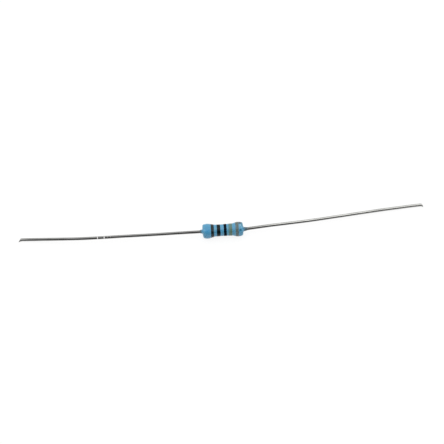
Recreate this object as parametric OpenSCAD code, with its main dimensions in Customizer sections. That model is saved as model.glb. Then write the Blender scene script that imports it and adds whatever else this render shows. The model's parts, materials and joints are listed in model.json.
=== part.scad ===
// Axial film resistor, lying as it comes to rest on a flat surface.
// The body's axis is X and its middle is the origin. The leads have been bent by hand,
// so both cut ends droop to the surface that the swollen ends of the body lie on.

/* [Ceramic core and film] */
// Diameter of the ceramic rod
core_d = 1.5; // [1.3:0.05:2.2]
// Length of the ceramic rod
core_l = 5.5; // [4.6:0.1:8]
// Thickness of the resistive film
film_t = 0.03; // [0.02:0.005:0.05]
// Width of the helical cut through the film
cut_w = 0.16; // [0.1:0.02:0.24]
// Turns of the helical cut
cut_turns = 3; // [1:1:4]
// Bare film left between the helical cut and each end cap
cut_margin = 0.45; // [0.2:0.05:0.5]

/* [End caps] */
// Wall of the pressed cup
cap_wall = 0.17; // [0.1:0.01:0.22]
// Thickness of the cup's closed end
cap_floor = 0.17; // [0.1:0.01:0.25]
// How far the cup reaches along the rod
cap_depth = 1.05; // [0.7:0.05:1.3]
// Rounding of the cup's outer corner
cap_round = 0.14; // [0.04:0.02:0.2]
// Radial gap between film and cup, none on a press fit
cap_gap = 0; // [0:0.005:0.01]

/* [Coating] */
// Thickness of the coating over the left cap
coat_on_left_cap = 0.185; // [0.12:0.005:0.3]
// Thickness of the coating over the right cap
coat_on_right_cap = 0.15; // [0.12:0.005:0.3]
// Thickness of the coating over the film at the waist
coat_on_film = 0.12; // [0.08:0.01:0.16]
// Thickness of the coating over each cap's closed end
coat_on_end = 0.28; // [0.2:0.01:0.4]
// Rounding of the left end's edge
left_edge_round = 0.4; // [0.2:0.05:0.45]
// Rounding of the right end's edge
right_edge_round = 0.5; // [0.2:0.05:0.55]
// Length of each slope from swollen end to waist
slope_l = 0.9; // [0.6:0.05:1.1]
// How far before the cap's rim that slope starts
slope_before_rim = 0.35; // [0.2:0.05:0.45]
// How far the coating creeps along the left lead
left_creep_l = 0.25; // [0.15:0.05:1]
// How far the coating creeps along the right lead
right_creep_l = 0.65; // [0.15:0.05:1]
// Thickness of the coating that creeps along a lead
creep_t = 0.055; // [0.03:0.005:0.1]
// Radius of the hollow corner where the coating meets a lead
creep_fillet = 0.12; // [0.06:0.02:0.14]

/* [Colour bands] */
// Thickness of the printed paint
paint_t = 0.03; // [0.02:0.005:0.05]
// First band's middle, from the left end of the body
first_band_in = 1.62; // [1.5:0.02:1.8]
// Fifth band's middle, from the right end of the body
fifth_band_in = 0.97; // [0.9:0.02:1.2]
// Second band's place, as a share of the way from first to fifth
second_band_share = 0.25; // [0.24:0.01:0.27]
// Third band's place, as a share of the way from first to fifth
third_band_share = 0.52; // [0.5:0.01:0.53]
// Fourth band's place, as a share of the way from first to fifth
fourth_band_share = 0.73; // [0.72:0.01:0.75]
// Width of the first band
first_band_w = 0.43; // [0.3:0.01:0.46]
// Width of the second band
second_band_w = 0.52; // [0.3:0.01:0.55]
// Width of the third band
third_band_w = 0.43; // [0.3:0.01:0.46]
// Width of the fourth band
fourth_band_w = 0.55; // [0.3:0.01:0.58]
// Width of the fifth band
fifth_band_w = 0.48; // [0.3:0.01:0.52]

/* [Leads] */
// Diameter of the tinned wire
lead_d = 0.46; // [0.4:0.02:0.6]
// Left lead's length along the wire, from the body's end to the cut end
left_lead_l = 28; // [24:0.25:36]
// Right lead's length along the wire, from the body's end to the cut end
right_lead_l = 28.25; // [24:0.25:36]
// Straight run of the left lead from the coating to its bend
left_bend_at = 16.75; // [0.1:0.05:17]
// Straight run of the right lead from the coating to its bend
right_bend_at = 0.1; // [0.1:0.05:17]
// Angle that the left lead is bent by
left_bend_a = 8; // [7:0.05:20]
// Angle that the right lead is bent by
right_bend_a = 6.55; // [4:0.05:20]
// Radius of the left lead's bend
left_bend_r = 20; // [2:0.5:30]
// Radius of the right lead's bend
right_bend_r = 3; // [2:0.5:20]
// How much thinner the wire is where it has been bent
bend_thinning = 0.004; // [0.002:0.001:0.01]
// Diameter of the welded foot where a lead meets its cap
weld_d = 0.8; // [0.65:0.05:0.9]
// Height of that welded foot
weld_h = 0.15; // [0.08:0.01:0.2]

/* [Hidden] */

// How far a cutting shape runs past what it cuts
past = 0.05;
// How far a bend reaches into the straight wire at each end of it
bend_lap = 0.05;
// Steps that follow a rounded corner, and a slope of the coating
round_steps = 6;
slope_steps = 10;
$fn = 64;

// Rod, film and cups
film_d = core_d + 2 * film_t;
bore_d = film_d + 2 * cap_gap;
cap_d = bore_d + 2 * cap_wall;
rim_x = core_l / 2 - cap_depth;
cap_end_x = core_l / 2 + cap_floor;

// The helical cut is half turns joined end to end, each in a leaning plane
half_turns = 2 * cut_turns;
half_pitch = 2 * (rim_x - cut_margin) / half_turns;
cut_lean = atan(half_pitch / film_d);

// Coating
body_end_x = cap_end_x + coat_on_end;
left_r = cap_d / 2 + coat_on_left_cap;
right_r = cap_d / 2 + coat_on_right_cap;
waist_r = film_d / 2 + coat_on_film;
lead_r = lead_d / 2;
sleeve_r = lead_r + creep_t;

// Colour bands
first_band_x = first_band_in - body_end_x;
fifth_band_x = body_end_x - fifth_band_in;

// The body's axis is this far above the surface below, and a cut end drops to it
axis_h = max(left_r, right_r + paint_t);
drop = axis_h - lead_r;

function band_x(share) = first_band_x + share * (fifth_band_x - first_band_x);

// Points along an arc, by its centre, its radius and its first and last angle
function arc(centre, r, from, to) = [
    for (i = [0 : round_steps])
        let (a = from + (to - from) * i / round_steps)
        centre + r * [cos(a), sin(a)]
];

// Half of the coating's outline, as [radius, distance from the body's middle]. It
// starts on the lead, turns through a hollow corner up the end face, goes round the
// edge, runs level over the cap and slopes down to the waist.
function half_outline(r, edge_round, creep_l) = concat(
    [
        [0, body_end_x + creep_l],
        [sleeve_r - creep_t / 2, body_end_x + creep_l]
    ],
    arc([sleeve_r + creep_fillet, body_end_x + creep_fillet], creep_fillet, 180, 270),
    arc([r - edge_round, body_end_x - edge_round], edge_round, 90, 0),
    [
        for (i = [0 : slope_steps])
            let (t = i / slope_steps)
            [
                waist_r + (r - waist_r) * (1 + cos(180 * t)) / 2,
                rim_x + slope_before_rim - slope_l * t
            ]
    ]
);

// The same points for the other end, in the order that closes the outline
function other_end(points) = [
    for (i = [len(points) - 1 : -1 : 0]) [points[i][0], -points[i][1]]
];

function outline(extra_r) = [
    for (p = concat(
        half_outline(right_r, right_edge_round, right_creep_l),
        other_end(half_outline(left_r, left_edge_round, left_creep_l))
    ))
        [p[0] > 0 ? p[0] + extra_r : 0, p[1]]
];

// Turns a flat [radius, distance] shape about the X axis
module turned() {
    rotate([0, 90, 0])
        rotate_extrude()
        children();
}

// A round bar along X, from one place to another
module bar(from_x, to_x, d) {
    translate([from_x, 0, 0])
        rotate([0, 90, 0])
        cylinder(h = to_x - from_x, d = d);
}

// One half turn of the helical cut, on the front or the back of the rod. It runs a
// little past the middle, where the next half turn takes over.
module half_turn_cut(middle_x, side) {
    translate([middle_x, 0, 0])
        rotate([0, side * cut_lean, 0])
        translate([-cut_w / 2, side > 0 ? -film_d : -past, -film_d])
        cube([cut_w, film_d + past, 2 * film_d]);
}

// The outside of the cup on the right end of the rod, as a solid block
module cap_block() {
    turned()
        polygon(concat(
            [[0, rim_x], [0, cap_end_x]],
            arc([cap_d / 2 - cap_round, cap_end_x - cap_round], cap_round, 90, 0),
            [[cap_d / 2, rim_x]]
        ));
}

// The cup itself, bored to fit over the film
module end_cap() {
    difference() {
        cap_block();
        bar(rim_x - past, core_l / 2, bore_d);
    }
}

// A lead to the right: a welded foot, a straight run, one bend and a straight end. It
// bends away from the body's axis in a plane that is rolled down until the cut end
// meets the surface.
module lead(lead_l, creep_l, bend_at, bend_r, bend_a) {
    end_l = lead_l - creep_l - bend_at - bend_r * bend_a * PI / 180;
    bend_x = body_end_x + creep_l + bend_at;
    reach = bend_r * (1 - cos(bend_a)) + end_l * sin(bend_a);
    roll = asin(min(1, drop / reach));
    lap_a = bend_lap / bend_r * 180 / PI;
    rotate([-roll, 0, 0]) {
        translate([cap_end_x, 0, 0])
            rotate([0, 90, 0])
            cylinder(h = weld_h, d1 = weld_d, d2 = lead_d);
        bar(cap_end_x, bend_x, lead_d);
        translate([bend_x, bend_r, 0]) {
            rotate([0, 0, -90 - lap_a])
                rotate_extrude(angle = bend_a + 2 * lap_a)
                translate([bend_r, 0])
                circle(d = lead_d - bend_thinning);
            rotate([0, 0, bend_a])
                translate([0, -bend_r, 0])
                bar(0, end_l, lead_d);
        }
    }
}

// A ring of paint that sits on the coating's own outline
module band(middle_x, w) {
    turned()
        intersection() {
            difference() {
                polygon(outline(paint_t));
                polygon(outline(0));
            }
            translate([0, middle_x - w / 2])
                square([axis_h + past, w]);
        }
}

module ceramic_core() {
    color("whitesmoke") bar(-core_l / 2, core_l / 2, core_d);
}

module resistive_film() {
    color("dimgray")
        difference() {
            bar(-core_l / 2, core_l / 2, film_d);
            bar(-core_l / 2 - past, core_l / 2 + past, core_d);
            for (i = [0 : half_turns - 1])
                half_turn_cut((i + 0.5 - cut_turns) * half_pitch, i % 2 == 0 ? 1 : -1);
        }
}

module left_end_cap() {
    color("silver") mirror([1, 0, 0]) end_cap();
}

module right_end_cap() {
    color("silver") end_cap();
}

module left_lead() {
    color("darkgray")
        mirror([1, 0, 0])
        lead(left_lead_l, left_creep_l, left_bend_at, left_bend_r, left_bend_a);
}

module right_lead() {
    color("darkgray")
        lead(right_lead_l, right_creep_l, right_bend_at, right_bend_r, right_bend_a);
}

// The coating fills the helical cut and closes on everything inside it
module coating() {
    color([0.36, 0.62, 0.78])
        difference() {
            turned() polygon(outline(0));
            ceramic_core();
            resistive_film();
            mirror([1, 0, 0]) cap_block();
            cap_block();
            left_lead();
            right_lead();
        }
}

module first_band() {
    color([0.16, 0.14, 0.15]) band(first_band_x, first_band_w);
}

module second_band() {
    color([0.11, 0.11, 0.12]) band(band_x(second_band_share), second_band_w);
}

module third_band() {
    color([0.02, 0.03, 0.07]) band(band_x(third_band_share), third_band_w);
}

module fourth_band() {
    color([0.38, 0.47, 0.42]) band(band_x(fourth_band_share), fourth_band_w);
}

module fifth_band() {
    color([0.37, 0.43, 0.41]) band(fifth_band_x, fifth_band_w);
}

ceramic_core();
resistive_film();
left_end_cap();
right_end_cap();
left_lead();
right_lead();
coating();
first_band();
second_band();
third_band();
fourth_band();
fifth_band();
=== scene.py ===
import json
import math
import bmesh
import bpy
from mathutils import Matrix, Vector, noise


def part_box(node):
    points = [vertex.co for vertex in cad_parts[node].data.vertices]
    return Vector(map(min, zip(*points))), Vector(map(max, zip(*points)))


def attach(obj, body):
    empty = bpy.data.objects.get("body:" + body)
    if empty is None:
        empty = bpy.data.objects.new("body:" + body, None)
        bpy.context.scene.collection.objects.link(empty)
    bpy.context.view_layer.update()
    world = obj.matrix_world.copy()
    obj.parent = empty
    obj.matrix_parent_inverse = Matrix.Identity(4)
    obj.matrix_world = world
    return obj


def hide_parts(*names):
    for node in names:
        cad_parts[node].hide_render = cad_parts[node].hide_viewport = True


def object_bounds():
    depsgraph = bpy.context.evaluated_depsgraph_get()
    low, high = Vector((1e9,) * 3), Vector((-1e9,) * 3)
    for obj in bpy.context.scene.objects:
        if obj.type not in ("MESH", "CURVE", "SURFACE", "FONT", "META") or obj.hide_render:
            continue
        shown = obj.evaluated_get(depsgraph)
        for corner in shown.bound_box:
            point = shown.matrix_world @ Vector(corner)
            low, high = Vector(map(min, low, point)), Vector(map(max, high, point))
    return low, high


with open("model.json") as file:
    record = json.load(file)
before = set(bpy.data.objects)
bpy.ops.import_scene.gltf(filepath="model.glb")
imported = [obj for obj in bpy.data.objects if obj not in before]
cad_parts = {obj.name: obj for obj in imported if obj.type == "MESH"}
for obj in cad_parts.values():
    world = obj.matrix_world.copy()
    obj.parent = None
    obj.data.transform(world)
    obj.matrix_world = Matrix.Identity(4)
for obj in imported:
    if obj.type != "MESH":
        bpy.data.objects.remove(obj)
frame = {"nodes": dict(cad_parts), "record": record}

cad_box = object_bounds()
scene = bpy.context.scene
scene.view_settings.view_transform = "Standard"


# Camera
# A long lens stands on the near side, high over the part and a little to its left, so
# that both leads reach across the picture and the body sits in the middle of it.
mm = 0.001
view_w = 68.3 * mm
camera_rise = math.radians(60)
camera_turn = math.radians(3.96)
# How far the middle of the picture is from the part's origin, across the picture and up it
aim_right = -0.07 * mm
aim_up = 1.277 * mm

camera = bpy.data.objects.new("camera", bpy.data.cameras.new("camera"))
camera.data.lens = 200
camera.data.clip_start = 10 * mm
camera.data.clip_end = 10
scene.collection.objects.link(camera)
scene.camera = camera

level = math.cos(camera_rise)
looking = Vector((
    math.sin(camera_turn) * level,
    math.cos(camera_turn) * level,
    -math.sin(camera_rise),
))
turn = looking.to_track_quat("-Z", "Y")
camera_far = view_w * camera.data.lens / camera.data.sensor_width
aim = turn @ Vector((aim_right, aim_up, 0))
camera.rotation_mode = "QUATERNION"
camera.rotation_quaternion = turn
camera.location = aim - looking * camera_far


# Light
# A studio with a white skirting, grey walls and a bright ceiling. One broad, weak lamp stands
# almost overhead, a little to the far side, and a dark screen on the near side draws the dark
# line along bright wire.
lamp_rise = math.radians(84)
lamp_strength = 0.28
lamp_angle = math.radians(44)
skirting_white = 1.0
wall_grey = 0.55
ceiling_white = 1.26
# Heights in the studio, from 0 at the horizon to 1 straight up
skirting_top = 0.08
wall_from = 0.18
wall_top = 0.30
ceiling_from = 0.60
# The screen: how high its middle is, and how far from there it is all dark and all gone
screen_rise = math.radians(30)
screen_inner = math.radians(28)
screen_outer = math.radians(42)


def node(tree, kind, inputs=None, **settings):
    """Adds a shader node. inputs holds numbers, colours or the sockets that feed it, and
    settings are the node's own choices."""
    made = tree.nodes.new("ShaderNode" + kind)
    for name, value in settings.items():
        setattr(made, name, value)
    for name, value in (inputs or {}).items():
        if isinstance(value, bpy.types.NodeSocket):
            tree.links.new(value, made.inputs[name])
        else:
            made.inputs[name].default_value = value
    return made


def blended(tree, share, first, second):
    """The colour from first to second as share goes from 0 to 1.

    The Mix node's colour sockets have the same names as its others, so numbers pick them."""
    made = node(tree, "Mix", {0: share, 6: first, 7: second}, data_type="RGBA")
    return made.outputs[2]


def ranged(tree, value, low, high, from_low=0.0, from_high=1.0):
    """value, moved from its own range to the range low to high."""
    inputs = {
        "Value": value,
        "From Min": from_low,
        "From Max": from_high,
        "To Min": low,
        "To Max": high,
    }
    return node(tree, "MapRange", inputs).outputs["Result"]


lamp = bpy.data.objects.new("lamp", bpy.data.lights.new("lamp", "SUN"))
lamp.data.energy = lamp_strength
lamp.data.angle = lamp_angle
lamp_from = Vector((0, math.cos(lamp_rise), math.sin(lamp_rise)))
lamp.rotation_mode = "QUATERNION"
lamp.rotation_quaternion = (-lamp_from).to_track_quat("-Z", "Y")
scene.collection.objects.link(lamp)

world = bpy.data.worlds.new("studio")
scene.world = world
world.use_nodes = True
tree = world.node_tree
towards = node(tree, "TexCoord").outputs["Generated"]
height = node(tree, "SeparateXYZ", {"Vector": towards}).outputs["Z"]
screen_middle = (0, -math.cos(screen_rise), math.sin(screen_rise))
facing = node(tree, "VectorMath", {0: towards, 1: screen_middle}, operation="DOT_PRODUCT")
unscreened = ranged(
    tree, facing.outputs["Value"], 1.0, 0.0, math.cos(screen_outer), math.cos(screen_inner)
)
wall = ranged(tree, height, skirting_white, wall_grey, skirting_top, wall_from)
ceiling = ranged(tree, height, 0.0, ceiling_white - wall_grey, wall_top, ceiling_from)
white = node(tree, "Math", {0: wall, 1: ceiling}, operation="ADD").outputs[0]
brightness = node(tree, "Math", {0: white, 1: unscreened}, operation="MULTIPLY").outputs[0]
tree.links.new(brightness, tree.nodes["Background"].inputs["Strength"])
tree.nodes["Background"].inputs["Color"].default_value = (1, 1, 1, 1)


# Floor
# A plain white sheet of card under the part. What the camera and bright metal see of it is
# mostly its own glow, which lifts it to white and keeps the part's soft shadow faint.
floor_half = 3.0
card_white = (0.94, 0.94, 0.94, 1)
card_seen = (0.14, 0.14, 0.14, 1)
card_glow = 0.885


def mesh_object(name, points, faces, smooth=True):
    """A new object in the scene, with one mesh made of these points and faces."""
    mesh = bpy.data.meshes.new(name)
    mesh.from_pydata(points, [], faces)
    made = bmesh.new()
    made.from_mesh(mesh)
    bmesh.ops.recalc_face_normals(made, faces=made.faces)
    for face in made.faces:
        face.smooth = smooth
    made.to_mesh(mesh)
    made.free()
    piece = bpy.data.objects.new(name, mesh)
    scene.collection.objects.link(piece)
    return piece


def material_for(name, **sockets):
    """A material with its Principled shader's own sockets set, named with _ for each space."""
    material = bpy.data.materials.new(name)
    material.use_nodes = True
    shader = material.node_tree.nodes["Principled BSDF"]
    for socket, value in sockets.items():
        shader.inputs[socket.replace("_", " ")].default_value = value
    return material, material.node_tree, shader


floor_z = cad_box[0].z
corners = [(-1, -1), (1, -1), (1, 1), (-1, 1)]
floor = mesh_object(
    "floor", [(x * floor_half, y * floor_half, floor_z) for x, y in corners], [(0, 1, 2, 3)], False
)
card, tree, shader = material_for(
    "white_card", Roughness=0.9, Specular_IOR_Level=0.1, Emission_Color=(1, 1, 1, 1)
)
path = node(tree, "LightPath").outputs
seen = node(tree, "Math", {0: path["Is Camera Ray"], 1: path["Is Glossy Ray"]}, operation="MAXIMUM")
seen = node(
    tree, "Math", {0: seen.outputs[0], 1: path["Is Transmission Ray"]}, operation="MAXIMUM"
).outputs[0]
tree.links.new(blended(tree, seen, card_white, card_seen), shader.inputs["Base Color"])
glow = node(tree, "Math", {0: seen, 1: card_glow}, operation="MULTIPLY")
tree.links.new(glow.outputs[0], shader.inputs["Emission Strength"])
floor.data.materials.append(card)


# Ceramic core
# A fired alumina rod, ground round. It carries the film and stays out of sight under the
# film, the cups and the coating.
core_pale = (0.80, 0.77, 0.70, 1)
core_grey = (0.66, 0.63, 0.57, 1)
core_grain = 9.0


def place_in_mm(tree, stretch=(1, 1, 1)):
    """The place on a piece in millimetres. A pattern taken there is drawn out by stretch."""
    place = node(tree, "TexCoord").outputs["Object"]
    scale = tuple(1 / mm / s for s in stretch)
    return node(tree, "Mapping", {"Vector": place, "Scale": scale}).outputs["Vector"]


def new_group(name, inputs, outputs):
    """A shader node group with float inputs, a Vector input and float outputs."""
    group = bpy.data.node_groups.new(name, "ShaderNodeTree")
    face = group.interface
    face.new_socket("Vector", in_out="INPUT", socket_type="NodeSocketVector")
    for socket in inputs:
        face.new_socket(socket, in_out="INPUT", socket_type="NodeSocketFloat")
    for socket in outputs:
        face.new_socket(socket, in_out="OUTPUT", socket_type="NodeSocketFloat")
    given = group.nodes.new("NodeGroupInput").outputs
    result = group.nodes.new("NodeGroupOutput").inputs
    return group, given, result


def from_group(tree, group, inputs):
    """Places a group in a material with its own values, and gives its outputs."""
    return node(tree, "Group", inputs, node_tree=group).outputs


# The group: soft patches of one tone in another, from 0 to 1
mottle, given, result = new_group("mottle", ["Scale", "Low", "High"], ["Mask"])
patches = node(
    mottle, "TexNoise", {"Vector": given["Vector"], "Scale": given["Scale"], "Detail": 5.0}
)
mask = ranged(mottle, patches.outputs[0], 0.0, 1.0, given["Low"], given["High"])
mottle.links.new(mask, result["Mask"])

ceramic, tree, shader = material_for("fired_ceramic", Roughness=0.7)
grains = from_group(
    tree, mottle, {"Vector": place_in_mm(tree), "Scale": core_grain, "Low": 0.35, "High": 0.65}
)["Mask"]
tree.links.new(blended(tree, grains, core_pale, core_grey), shader.inputs["Base Color"])
relief = node(tree, "Bump", {"Height": grains, "Strength": 0.4, "Distance": 0.01 * mm})
tree.links.new(relief.outputs["Normal"], shader.inputs["Normal"])


def coat_node(name, material):
    """Gives a carried piece its finish."""
    slots = frame["nodes"][name].data.materials
    slots.clear()
    slots.append(material)


coat_node("ceramic_core", ceramic)


# Resistive film
# What resists: a thin nickel-chromium film, sputtered on the whole rod and trimmed to its
# value by a helical cut. The cups grip it at both ends.
film_dark = (0.20, 0.19, 0.18, 1)
film_light = (0.34, 0.33, 0.31, 1)
film_patches = 2.5
film_rough = (0.30, 0.42)

sputtered, tree, shader = material_for("sputtered_film", Metallic=1.0)
tone = from_group(
    tree, mottle, {"Vector": place_in_mm(tree), "Scale": film_patches, "Low": 0.3, "High": 0.7}
)["Mask"]
tree.links.new(blended(tree, tone, film_dark, film_light), shader.inputs["Base Color"])
tree.links.new(ranged(tree, tone, *film_rough), shader.inputs["Roughness"])
coat_node("resistive_film", sputtered)


# End caps
# Steel cups, deep drawn and plated with tin. They are pressed over the ends of the rod, and
# the leads are welded to them.
cap_bright = (0.66, 0.65, 0.62, 1)
cap_dull = (0.52, 0.51, 0.49, 1)
cap_rough = (0.24, 0.40)
# How far drawing stretches the die's lines along the piece, and which of them show
cap_draw = (6.0, 1, 1)
lines_shown = (0.42, 0.62)

# The group: fine lines left by drawing through a die, as a height and as a mask
die_lines, given, result = new_group("die_lines", ["Scale"], ["Height", "Mask"])
fine = node(
    die_lines, "TexNoise", {"Vector": given["Vector"], "Scale": given["Scale"], "Detail": 4.0}
)
die_lines.links.new(fine.outputs[0], result["Height"])
mask = ranged(die_lines, fine.outputs[0], 0.0, 1.0, *lines_shown)
die_lines.links.new(mask, result["Mask"])

cup, tree, shader = material_for("tinned_cup", Metallic=1.0)
lines = from_group(tree, die_lines, {"Vector": place_in_mm(tree, cap_draw), "Scale": 14.0})
tree.links.new(blended(tree, lines["Mask"], cap_bright, cap_dull), shader.inputs["Base Color"])
tree.links.new(ranged(tree, lines["Mask"], *cap_rough), shader.inputs["Roughness"])
relief = node(tree, "Bump", {"Height": lines["Height"], "Strength": 0.3, "Distance": 0.01 * mm})
tree.links.new(relief.outputs["Normal"], shader.inputs["Normal"])
coat_node("left_end_cap", cup)
coat_node("right_end_cap", cup)


# Leads
# Tinned copper wire, welded end-on to the cups. It was straightened and bent by hand, so
# it wanders a little, pliers have marked the left one, and the cutter has sheared both ends.
lead_sides = 40
ring_step = 0.25 * mm
fine_step = 0.025 * mm
weld_r = 0.40 * mm
weld_h = 0.15 * mm
weld_flare = 0.6
# The rings stand close together from the weld to here
weld_fine = 1.5 * weld_h
waver = 0.02 * mm
waver_length = 5.0 * mm
# The waver grows from nothing over the wire's first sixth, and dies away over its last
waver_growth = 6
# The pliers: which way they press, how square their marks are, how far the metal spreads
# beside them, how far past them the rings stand close together, and how deep a mark is where
# bright tin begins to show in it, and where it is all bright
jaws = Vector((0, 0.05, 1)).normalized()
mark_square = 6
mark_spread = 0.5
mark_margin = 0.4 * mm
bared_from = 0.015 * mm
bared_to = 0.100 * mm
# The cutter: how much of the end it shapes, how far the face slants and how much it narrows
cut_length = 0.35 * mm
cut_slant = 0.05 * mm
cut_pinch = 0.15
bare_tin = (0.84, 0.84, 0.83, 1)
tin_rough = (0.14, 0.22)
# How far drawing stretches the die's lines and the patches of oxide, and how dull the lines are
wire_draw = (12, 1, 1)
oxide_draw = (3, 1, 1)
line_dull = 0.35
# Each lead's tin is darker towards the weld, and each lead has a painted dark reflection: a dark
# streak painted into its tin along its near side
weld_dark_tin = (0.16, 0.16, 0.155, 1)
weld_dark_length = 6.0 * mm
painted_reflection_half = math.radians(52)
painted_reflection_tin = (0.09, 0.09, 0.09, 1)
painted_reflection_share = 0.95
# A worn lead loses some of its shine on the way to its tip, and its painted dark reflection fades
# there
wear_and_fade_length = 28 * mm
worn_rough = 0.3

# What is different about each lead:
# strays: how far the wire strays to the far side, in millimetres, by share of its length
# marks: the distance of each mark from the cut end, its width and its depth
# burr: how far the cutter dragged the metal out on that side
# hook: how far the cutter pushed the whole end over
# painted_reflection_rise, painted_reflection_fade: how high on its side the painted dark reflection
# is, and how near the end it fades
# bright, dull: the two tones of its tin
# weld_share, wear_and_fade: how dark its tin is by the weld, and how worn it is at the tip, where its
# painted dark reflection also fades, from 0 to 1
# seed: where its waver is taken from
left_lead = {
    "mount": "left_lead_end",
    "weld_x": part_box("left_lead")[1].x,
    "strays": [(0, 0), (0.03, -0.025), (0.30, -0.025), (0.50, -0.015), (0.62, 0), (1, 0)],
    "marks": [
        (11.96 * mm, 0.12 * mm, 0.100 * mm),
        (12.27 * mm, 0.14 * mm, 0.018 * mm),
        (12.58 * mm, 0.14 * mm, 0.018 * mm),
        (12.99 * mm, 0.15 * mm, 0.090 * mm),
        (13.50 * mm, 0.16 * mm, 0.028 * mm),
        (13.96 * mm, 0.16 * mm, 0.030 * mm),
    ],
    "burr": Vector((-0.20, -0.15, 0)) * mm,
    "hook": Vector((0, -0.03, 0)) * mm,
    "painted_reflection_rise": math.radians(50),
    "painted_reflection_fade": 1.5 * mm,
    "bright": (0.36, 0.36, 0.35, 1),
    "dull": (0.27, 0.27, 0.26, 1),
    "weld_share": 0.3,
    "wear_and_fade": 0.0,
    "seed": 1,
}
right_lead = {
    "mount": "right_lead_end",
    "weld_x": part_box("right_lead")[0].x,
    "strays": [
        (0, 0), (0.012, -0.025), (0.050, 0.062), (0.13, 0.064), (0.38, -0.045), (0.55, -0.010),
        (0.78, 0.055), (0.90, 0.030), (1, -0.020),
    ],
    "marks": [],
    "burr": Vector((0.04, -0.10, 0)) * mm,
    "hook": Vector((0, -0.12, 0)) * mm,
    "painted_reflection_rise": math.radians(6),
    "painted_reflection_fade": 0.2 * mm,
    "bright": (0.52, 0.52, 0.50, 1),
    "dull": (0.40, 0.40, 0.385, 1),
    "weld_share": 0.95,
    "wear_and_fade": 0.5,
    "seed": 11,
}
mounts = {m["name"]: m for m in frame["record"]["mounts"]}


class LeadLine:
    """The middle line of one lead, from its weld to its cut end.

    It runs out along the body's axis, turns through one soft bend, and runs straight to its tip."""

    def __init__(self, mount, weld_x):
        self.outward = Vector((math.copysign(1, weld_x), 0, 0))
        self.end_way = Vector(mount["axis"])
        half = self.end_way * mount["dims"]["length_mm"] * mm / 2
        middle = Vector(mount["pos_m"])
        tip = middle + half
        bend_end = middle - half
        # The corner that the bend rounds off, where the end's line meets the body's axis
        corner_x = middle.x - self.end_way.x * middle.y / self.end_way.y
        corner = Vector((corner_x, 0, 0))
        tangent = (bend_end - corner).length
        self.angle = self.outward.angle(self.end_way)
        self.radius = tangent / math.tan(self.angle / 2)
        self.start = Vector((weld_x, 0, 0))
        self.bend_from = (corner - self.start).length - tangent
        self.bend_length = self.radius * self.angle
        self.side = (self.end_way - self.outward * math.cos(self.angle)).normalized()
        self.length = self.bend_from + self.bend_length + (tip - bend_end).length

    def at(self, run):
        """The point and the direction at a distance along the wire."""
        turned = min(max(run - self.bend_from, 0) / self.radius, self.angle)
        point = self.start + self.outward * min(run, self.bend_from)
        point += self.radius * (
            self.outward * math.sin(turned) + self.side * (1 - math.cos(turned))
        )
        way = self.outward * math.cos(turned) + self.side * math.sin(turned)
        point += way * max(run - self.bend_from - self.bend_length, 0)
        return point, way


def wandering(lead, run, length):
    """How far the wire strays at a distance along it: by its own list, and a small waver."""
    share = run / length
    stray = 0
    for (near, first), (far, last) in zip(lead["strays"], lead["strays"][1:]):
        if near <= share <= far:
            t = (share - near) / (far - near)
            stray = (first + (last - first) * t * t * (3 - 2 * t)) * mm
    grown = min(1, waver_growth * share, waver_growth * (1 - share))
    return stray + grown * waver * noise.noise(Vector((run / waver_length, lead["seed"], 0)))


def ring_runs(length, fine_spans):
    """Where the rings go along a lead: wide apart, and close together in fine_spans."""
    coarse = round(length / ring_step)
    runs = [i * length / coarse for i in range(coarse + 1)]
    for first, last in fine_spans:
        count = round((last - first) / fine_step)
        runs = [r for r in runs if not first < r < last]
        runs += [first + (last - first) * i / count for i in range(count + 1)]
    return sorted(set(runs))


def closed_tube(rings):
    """Points and faces of a tube through these rings, with each end closed by a fan."""
    sides = len(rings[0])
    points = [p for ring in rings for p in ring]
    faces = []
    for near in range(0, (len(rings) - 1) * sides, sides):
        far = near + sides
        for i in range(sides):
            j = (i + 1) % sides
            faces.append((near + i, near + j, far + j, far + i))
    for ring, first in ((rings[0], 0), (rings[-1], (len(rings) - 1) * sides)):
        middle = len(points)
        points.append(sum(ring, Vector()) / sides)
        faces += [(first + i, first + (i + 1) % sides, middle) for i in range(sides)]
    return points, faces


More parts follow.
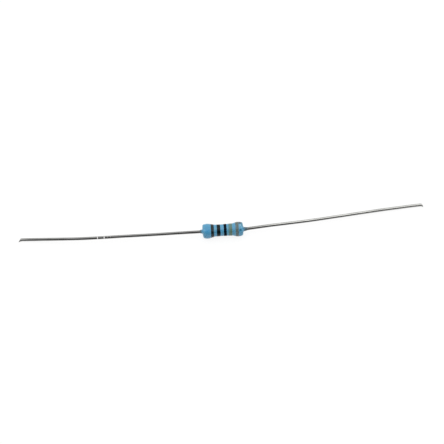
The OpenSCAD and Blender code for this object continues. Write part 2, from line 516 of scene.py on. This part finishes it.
def lead_piece(name, lead):
    """One lead, with its weld, its marks and its sheared end."""
    mount = mounts[lead["mount"]]
    line = LeadLine(mount, lead["weld_x"])
    wire_r = mount["dims"]["r_mm"] * mm
    burr = lead["burr"]
    marks = lead["marks"]
    painted_reflection_way = Vector((0, -math.cos(lead["painted_reflection_rise"]), math.sin(lead["painted_reflection_rise"])))
    spans = [(0, weld_fine), (line.length - cut_length, line.length)]
    if marks:
        marks_from = line.length - marks[-1][0] - mark_margin
        marks_to = line.length - marks[0][0] + mark_margin
        spans.append((marks_from, marks_to))
    rings = []
    bare = []
    painted_reflections = []
    for run in ring_runs(line.length, spans):
        point, way = line.at(run)
        side = (line.side - way * line.side.dot(way)).normalized()
        across = way.cross(side)
        stray = wandering(lead, run, line.length)
        point = point + Vector((0, stray, 0))
        r = wire_r
        if run < weld_h:
            r = weld_r + (wire_r - weld_r) * (run / weld_h) ** weld_flare
        squeeze = 0
        for from_tip, width, depth in marks:
            off = abs(line.length - run - from_tip) / (width / 2)
            if off < 1:
                squeeze = max(squeeze, depth * (1 - off ** mark_square))
        to_end = max(0, 1 - (line.length - run) / cut_length)
        ring = []
        for i in range(lead_sides):
            a = 2 * math.pi * i / lead_sides
            out = side * math.cos(a) + across * math.sin(a)
            # The jaws press the wire flat, and it spreads beside them
            high = out.dot(jaws) * r
            pressed = max(squeeze - r, min(r - squeeze, high))
            spread = 1 + mark_spread * squeeze / r
            offset = (out * r - jaws * high) * spread + jaws * pressed
            # The cut face slants back from the burr
            lean = out.dot((burr - way * burr.dot(way)).normalized())
            offset *= 1 - cut_pinch * to_end ** 4 * (1 - max(0, lean))
            offset += way * to_end ** 2 * cut_slant * lean
            offset += burr * to_end ** 3 * max(0, lean) ** 3
            ring.append(point + offset + lead["hook"] * to_end ** 2)
            bare.append(min(1, max(0, squeeze - bared_from) / (bared_to - bared_from)))
            # How much of the painted dark reflection each point takes: full where it faces the near
            # side, fading towards the end
            off_painted_reflection = math.acos(max(-1, min(1, out.dot(painted_reflection_way)))) / painted_reflection_half
            fade = min(1, (line.length - run) / lead["painted_reflection_fade"])
            painted_reflections.append(fade * max(0, 1 - off_painted_reflection ** 2))
        rings.append(ring)
    points, faces = closed_tube(rings)
    piece = mesh_object(name, points, faces)
    # Attributes: where the pliers bared the tin, and the painted dark reflection along the near side
    for mark_name, values in (("scored", bare), ("painted_reflection", painted_reflections)):
        mark = piece.data.attributes.new(mark_name, "FLOAT", "POINT")
        mark.data.foreach_set("value", values + [0.0] * (len(points) - len(values)))
    return piece


def place_along(tree):
    """The place along the part, in metres."""
    place = node(tree, "TexCoord").outputs["Object"]
    return node(tree, "SeparateXYZ", {"Vector": place}).outputs["X"]


def tinned_wire(name, lead):
    """Drawn and tinned wire: dull oxide in patches, darker tin by the weld, a painted dark reflection
    along the near side, and bright tin in the pliers' marks."""
    material, tree, shader = material_for(name, Metallic=1.0)
    lengthwise = place_in_mm(tree, wire_draw)
    lines = from_group(tree, die_lines, {"Vector": lengthwise, "Scale": 16.0})
    place = place_in_mm(tree, oxide_draw)
    oxide = from_group(
        tree, mottle, {"Vector": place, "Scale": 1.6, "Low": 0.38, "High": 0.66}
    )["Mask"]
    tone = blended(tree, oxide, lead["bright"], lead["dull"])
    tone = blended(tree, ranged(tree, lines["Mask"], 0.0, line_dull), tone, lead["dull"])
    along = place_along(tree)
    weld_x = lead["weld_x"]
    far_x = weld_x + math.copysign(weld_dark_length, weld_x)
    # The tin is darker towards the weld, fading out over a few millimetres
    near_weld = ranged(tree, along, lead["weld_share"], 0.0, weld_x, far_x)
    tone = blended(tree, near_weld, tone, weld_dark_tin)
    # A dark streak painted into the tin's colour along the near side, a painted dark reflection; it
    # fades towards a worn tip
    painted_reflection = node(tree, "Attribute", attribute_name="painted_reflection").outputs["Fac"]
    tip_x = weld_x + math.copysign(wear_and_fade_length, weld_x)
    painted_reflection_at_tip = painted_reflection_share * (1 - lead["wear_and_fade"])
    kept = ranged(tree, along, painted_reflection_share, painted_reflection_at_tip, far_x, tip_x)
    painted_reflection = node(tree, "Math", {0: painted_reflection, 1: kept}, operation="MULTIPLY").outputs[0]
    tone = blended(tree, painted_reflection, tone, painted_reflection_tin)
    scored = node(tree, "Attribute", attribute_name="scored").outputs["Fac"]
    tone = blended(tree, scored, tone, bare_tin)
    tree.links.new(tone, shader.inputs["Base Color"])
    scuffed = ranged(tree, along, 0.0, worn_rough * lead["wear_and_fade"], far_x, tip_x)
    rough = ranged(tree, oxide, *tin_rough)
    rough = node(tree, "Math", {0: rough, 1: scuffed}, operation="ADD")
    tree.links.new(rough.outputs[0], shader.inputs["Roughness"])
    relief = node(
        tree, "Bump", {"Height": lines["Height"], "Strength": 0.25, "Distance": 0.01 * mm}
    )
    tree.links.new(relief.outputs["Normal"], shader.inputs["Normal"])
    return material


for lead, wire_name, cad_node, metal_name in (
    (left_lead, "left_wire", "left_lead", "dull_tinned_wire"),
    (right_lead, "right_wire", "right_lead", "tinned_wire"),
):
    piece = lead_piece(wire_name, lead)
    piece.data.materials.append(tinned_wire(metal_name, lead))
    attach(piece, "root")
    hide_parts(cad_node)


# Coating
# Pale blue resin, dipped on and cured. It swells over the cups, dips in at the waist, sits
# a little off the rod's middle and creeps out along both leads.
coat_sides = 144
steps_between = 8
left_creep = 0.25 * mm
right_creep = 0.65 * mm
lump = 0.010 * mm
lump_size = 1.1 * mm
left_shift = 0.003 * mm
right_shift = 0.064 * mm
# The left end face leans: its far side stands out and its near side falls back, by this
# share of the radius
left_lean = 0.045
lean_side = math.radians(30)
lean_reach = 0.8 * mm
# Up to creep_r the skin is creep, which follows the wire. Over creep_ease more of radius it
# comes to follow the body.
creep_r = 0.3 * mm
creep_ease = 0.5 * mm
creep_ragged = 0.05 * mm
# Above this radius the outline is the body's side, which the bands lie on
side_r = 0.5 * mm
cavity_gap = 0.004 * mm
wire_gap = 0.001 * mm
cup_corner = 0.14 * mm
corner_steps = 5
# Outline at each end: distance in from the end face and radius, in millimetres
left_outline = [
    (-0.25, 0.246), (-0.16, 0.268), (-0.05, 0.286), (0.055, 0.330), (0.115, 0.50), (0.150, 0.74),
    (0.195, 0.935), (0.285, 1.031), (0.50, 1.106), (0.85, 1.158), (1.15, 1.132), (1.35, 1.083),
    (1.60, 1.014), (1.95, 0.942), (2.30, 0.912), (2.80, 0.898),
]
right_outline = [
    (-0.65, 0.240), (-0.50, 0.268), (-0.30, 0.300), (-0.12, 0.345), (-0.02, 0.48), (0.025, 0.68),
    (0.055, 0.900), (0.14, 1.000), (0.29, 1.065), (0.50, 1.108), (0.80, 1.105), (1.10, 1.072),
    (1.30, 1.042), (1.50, 0.988), (1.75, 0.938), (2.30, 0.918), (2.80, 0.904),
]
coat_blue = (0.083, 0.325, 0.545, 1)
coat_pale = (0.112, 0.345, 0.485, 1)
coat_deep = (0.066, 0.283, 0.475, 1)
coat_rough = (0.22, 0.30)
fleck_share = 0.5
# Pinholes: their inner and outer radius in their cell, and how deep they are in the ripple
pinhole_r = (0.05, 0.16)
pinhole_depth = 0.6
# Painted highlights and painted shade: pale and dark spots painted into the coat's colour. The place
# of each and how far it reaches, in millimetres, and its colour, which is full over a share of that
# reach
painted_spot_full = 0.2
painted_light_spots = [
    ((-2.30, -0.42, 1.02), 0.62, (0.048, 0.305, 0.575, 1)),
    ((-2.33, -0.12, 1.10), 0.50, (0.046, 0.278, 0.490, 1)),
    ((-2.79, -0.38, 0.98), 0.30, (0.106, 0.377, 0.600, 1)),
    ((2.68, 0.64, 0.91), 0.50, (0.065, 0.080, 0.085, 1)),
    ((2.775, 0.12, 1.08), 0.20, (0.300, 0.540, 0.720, 1)),
    ((2.93, -0.20, 1.00), 0.17, (0.190, 0.480, 0.650, 1)),
    ((2.98, 0.16, 1.02), 0.15, (0.060, 0.160, 0.210, 1)),
    ((2.75, -0.58, 0.82), 0.23, (0.008, 0.095, 0.155, 1)),
]

coat_low, coat_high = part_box("coating")
left_face = coat_low.x + left_creep
right_face = coat_high.x - right_creep

# What is under the coat darkens it where it creeps out thin: from where, to where, how much
coat_over_wire = (0.078, 0.122, 0.140, 1)
thin_creeps = [
    (right_face, right_face + 0.3 * mm, 0.95),
    (left_face + 0.05 * mm, left_face - 0.12 * mm, 0.9),
]


def smooth_through(knots, steps):
    """Points of a smooth curve through every knot, with that many steps between two."""
    ends = [2 * knots[0] - knots[1], *knots, 2 * knots[-1] - knots[-2]]
    points = []
    for a, b, c, d in zip(ends, ends[1:], ends[2:], ends[3:]):
        for i in range(steps):
            t = i / steps
            points.append(
                0.5 * (2 * b + (c - a) * t + (2 * a - 5 * b + 4 * c - d) * t ** 2
                       + (3 * b - 3 * c + d - a) * t ** 3)
            )
    return points + [knots[-1]]


outline_knots = [Vector((left_face + x * mm, r * mm)) for x, r in left_outline]
outline_knots += [Vector((right_face - x * mm, r * mm)) for x, r in reversed(right_outline)]
coat_outline = smooth_through(outline_knots, steps_between)


def coat_radius(x):
    """The coating's radius at a place between its end faces."""
    for near, far in zip(coat_outline, coat_outline[1:]):
        if near.x <= x <= far.x and near.y > side_r:
            share = (x - near.x) / max(far.x - near.x, 1e-9)
            return near.y + (far.y - near.y) * share
    return coat_outline[0].y


def creep_shift(x):
    """How far the wire strays at a place near the body, which the creep on it follows."""
    lead = left_lead if x < 0 else right_lead
    length = LeadLine(mounts[lead["mount"]], lead["weld_x"]).length
    return wandering(lead, max(abs(x) - abs(lead["weld_x"]), 0), length)


def coat_point(x, r, angle, lift=0.0):
    """A point on the coating's uneven skin, or lifted that far off it."""
    full = min(max((r - creep_r) / creep_ease, 0), 1)
    around = Vector((x, r * math.cos(angle), r * math.sin(angle)))
    uneven = lump * noise.noise(around / lump_size) * full
    share = min(max(0.5 + x / (right_face - left_face), 0), 1)
    shift = left_shift + (right_shift - left_shift) * share
    shift = full * shift + (1 - full) * creep_shift(x)
    out = r + uneven + lift
    near_left = min(max(1 - (x - left_face) / lean_reach, 0), 1) * full
    leant = x - left_lean * near_left * r * math.cos(angle - lean_side)
    return Vector((leant, out * math.cos(angle) + shift, out * math.sin(angle)))


def closed_ring(rows):
    """Points and faces of a ring whose section is closed: each row goes round the axis."""
    sides = len(rows[0])
    points = [p for row in rows for p in row]
    faces = []
    for r in range(len(rows)):
        after = (r + 1) % len(rows)
        for i in range(sides):
            j = (i + 1) % sides
            faces.append((r * sides + i, r * sides + j, after * sides + j, after * sides + i))
    return points, faces


angles = [2 * math.pi * i / coat_sides for i in range(coat_sides)]

# Inside, the resin follows the weld, the cup and the film
cup_low, cup_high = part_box("right_end_cap")
film_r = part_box("resistive_film")[1].z + cavity_gap
cup_r = cup_high.z + cavity_gap
wire_r = mounts["left_lead_end"]["dims"]["r_mm"] * mm + wire_gap
half_cavity = [
    (cup_low.x - cavity_gap, film_r),
    (cup_low.x - cavity_gap, cup_r),
]
for i in range(corner_steps + 1):
    a = math.pi / 2 * i / corner_steps
    half_cavity.append((
        cup_high.x + cavity_gap - cup_corner * (1 - math.sin(a)),
        cup_r - cup_corner * (1 - math.cos(a)),
    ))
half_cavity += [
    (cup_high.x + cavity_gap, weld_r + cavity_gap),
    (cup_high.x + weld_h, wire_r),
]

rows = []
for x, r in coat_outline:
    row = []
    for a in angles:
        ragged = 0
        if r < creep_r:
            ragged = creep_ragged * noise.noise(Vector((math.cos(a), math.sin(a), x / mm)))
        row.append(coat_point(x + ragged, r, a))
    rows.append(row)
for x, r in reversed(half_cavity):
    rows.append([Vector((x, r * math.cos(a), r * math.sin(a))) for a in angles])
for x, r in half_cavity:
    rows.append([Vector((-x, r * math.cos(a), r * math.sin(a))) for a in angles])
coating = mesh_object("resin_coating", *closed_ring(rows))

# The group: the faint ripple and pinholes of a cured coat, as a height
orange_peel, given, result = new_group("orange_peel", ["Ripple", "Pinholes"], ["Height"])
ripple = node(
    orange_peel, "TexNoise", {"Vector": given["Vector"], "Scale": given["Ripple"], "Detail": 3.0}
)
cells = node(orange_peel, "TexVoronoi", {"Vector": given["Vector"], "Scale": given["Pinholes"]})
pits = ranged(orange_peel, cells.outputs["Distance"], 1.0, 0.0, *pinhole_r)
pitted = node(
    orange_peel, "Math", {0: pits, 1: -pinhole_depth, 2: ripple.outputs[0]}, operation="MULTIPLY_ADD"
)
orange_peel.links.new(pitted.outputs[0], result["Height"])

resin, tree, shader = material_for("blue_resin")
place = place_in_mm(tree)
tone = from_group(tree, mottle, {"Vector": place, "Scale": 1.3, "Low": 0.36, "High": 0.64})["Mask"]
flecks = from_group(tree, mottle, {"Vector": place, "Scale": 24.0, "Low": 0.40, "High": 0.72})["Mask"]
skin = from_group(tree, orange_peel, {"Vector": place, "Ripple": 5.0, "Pinholes": 3.0})
colour = blended(tree, tone, coat_blue, coat_pale)
colour = blended(tree, ranged(tree, flecks, 0.0, fleck_share), colour, coat_deep)
# Each spot lays a painted highlight or painted shade over the resin's colour
for spot, reach, spot_colour in painted_light_spots:
    away = node(tree, "VectorMath", {0: place, 1: spot}, operation="DISTANCE").outputs["Value"]
    spot_share = ranged(tree, away, 1.0, 0.0, painted_spot_full * reach, reach)
    colour = blended(tree, spot_share, colour, spot_colour)
along = place_along(tree)
for thin_from, thin_to, share in thin_creeps:
    thin = ranged(tree, along, 0.0, share, thin_from, thin_to)
    colour = blended(tree, thin, colour, coat_over_wire)
tree.links.new(colour, shader.inputs["Base Color"])
tree.links.new(ranged(tree, tone, *coat_rough), shader.inputs["Roughness"])
relief = node(tree, "Bump", {"Height": skin["Height"], "Strength": 0.35, "Distance": 0.03 * mm})
tree.links.new(relief.outputs["Normal"], shader.inputs["Normal"])
coating.data.materials.append(resin)
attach(coating, "root")
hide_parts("coating")


# Colour bands
# Rings of paint, rolled on by printing wheels while the body turns. Each is about two
# hundredths of a millimetre thick, thinner at its wavy edges, and doubled where the turn closes.
band_steps = 20
paint_t = 0.018 * mm
paint_sink = 0.004 * mm
# How square the paint's section is, how uneven its thickness, and how its edges wave
paint_square = 6
paint_uneven = 0.35
edge_wave = 0.014 * mm
wave_turns = 1.6
# Where the turn closes, how wide the doubled paint is there, and how much thicker
closing_angle = math.radians(250)
closing_width = math.radians(9)
closing_extra = 0.5
# Where each ring's unevenness is taken from: the first ring's, the step to the next, and the
# step from a ring's left edge to its right one
first_seed = 20.0
seed_step = 3
edge_step = 7
# How much shows through where the paint is thin, and how much rougher its patches are
thin_share = 0.9
patch_rough = 0.08
# The bands, from the left:
# main, through: the colour of the paint, and the colour that shows through it
# patches: where in the mottle the patches begin and are full
# spread: how far the paint ran past its wheel on the right
# thin: how far across the band the paint runs thin, as a share of its width
bands = {
    "first_band": {
        "paint": "dark_brown_paint",
        "main": (0.006, 0.014, 0.017, 1),
        "through": (0.011, 0.020, 0.027, 1),
        "patches": (0.45, 0.70),
        "roughness": 0.17,
        "gloss": 0.35,
        "spread": 0.025 * mm,
    },
    "second_band": {
        "paint": "black_paint",
        "main": (0.002, 0.009, 0.010, 1),
        "through": (0.014, 0.009, 0.011, 1),
        "patches": (0.50, 0.75),
        "roughness": 0.22,
        "gloss": 0.18,
        "spread": 0.025 * mm,
    },
    "third_band": {
        "paint": "blue_black_paint",
        "main": (0.001, 0.006, 0.012, 1),
        "through": (0.002, 0.008, 0.017, 1),
        "patches": (0.45, 0.75),
        "roughness": 0.55,
        "gloss": 0.04,
    },
    "fourth_band": {
        "paint": "dull_gold_paint",
        "main": (0.110, 0.175, 0.125, 1),
        "through": (0.110, 0.250, 0.260, 1),
        "patches": (0.45, 0.75),
        "roughness": 0.40,
        "gloss": 0.4,
        "thin": 0.5,
    },
    "fifth_band": {
        "paint": "thin_brown_paint",
        "main": (0.115, 0.140, 0.120, 1),
        "through": (0.115, 0.215, 0.270, 1),
        "patches": (0.45, 0.75),
        "roughness": 0.40,
        "gloss": 0.4,
    },
}


def band_piece(name, low, high, seed):
    """A ring of paint on the coating's own uneven skin."""
    middle, half = (low + high) / 2, (high - low) / 2
    outer, inner = [], []
    for j in range(band_steps + 1):
        t = -1 + 2 * j / band_steps
        rise = (1 - t ** paint_square) ** 0.5
        top, bottom = [], []
        for a in angles:
            near = Vector((math.cos(a) * wave_turns, math.sin(a) * wave_turns, seed))
            wave = edge_wave * noise.noise(near + Vector((0, 0, edge_step if t > 0 else 0)))
            x = middle + half * t + wave * abs(t)
            doubled = closing_extra * math.exp(-((a - closing_angle) / closing_width) ** 2)
            thick = paint_t * rise * (1 + paint_uneven * noise.noise(near * 3) + doubled)
            r = coat_radius(x)
            top.append(coat_point(x, r, a, thick))
            bottom.append(coat_point(x, r, a, -paint_sink))
        outer.append(top)
        inner.append(bottom)
    return mesh_object(name, *closed_ring(outer + inner[::-1]))


def paint_material(band, low, high):
    """Printed paint of one colour, which lets a second one through in patches and where it
    runs thin."""
    material, tree, shader = material_for(band["paint"], Specular_IOR_Level=band["gloss"])
    place = place_in_mm(tree)
    begin, full = band["patches"]
    patches = from_group(
        tree, mottle, {"Vector": place, "Scale": 3.2, "Low": begin, "High": full}
    )["Mask"]
    share = patches
    if "thin" in band:
        thin_to = low + band["thin"] * (high - low)
        thin = ranged(tree, place_along(tree), thin_share, 0.0, low, thin_to)
        share = node(tree, "Math", {0: patches, 1: thin}, operation="MAXIMUM").outputs[0]
    colour = blended(tree, share, band["main"], band["through"])
    tree.links.new(colour, shader.inputs["Base Color"])
    rough = ranged(tree, patches, band["roughness"], band["roughness"] + patch_rough)
    tree.links.new(rough, shader.inputs["Roughness"])
    skin = from_group(tree, orange_peel, {"Vector": place, "Ripple": 11.0, "Pinholes": 5.0})
    relief = node(tree, "Bump", {"Height": skin["Height"], "Strength": 0.3, "Distance": 0.02 * mm})
    tree.links.new(relief.outputs["Normal"], shader.inputs["Normal"])
    return material


for place_in_row, (cad_node, printed) in enumerate(bands.items()):
    low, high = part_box(cad_node)
    printed_to = high.x + printed.get("spread", 0)
    seed = first_seed + seed_step * place_in_row
    band = band_piece(cad_node + "_paint", low.x, printed_to, seed)
    band.data.materials.append(paint_material(printed, low.x, high.x))
    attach(band, "root")
    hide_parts(cad_node)
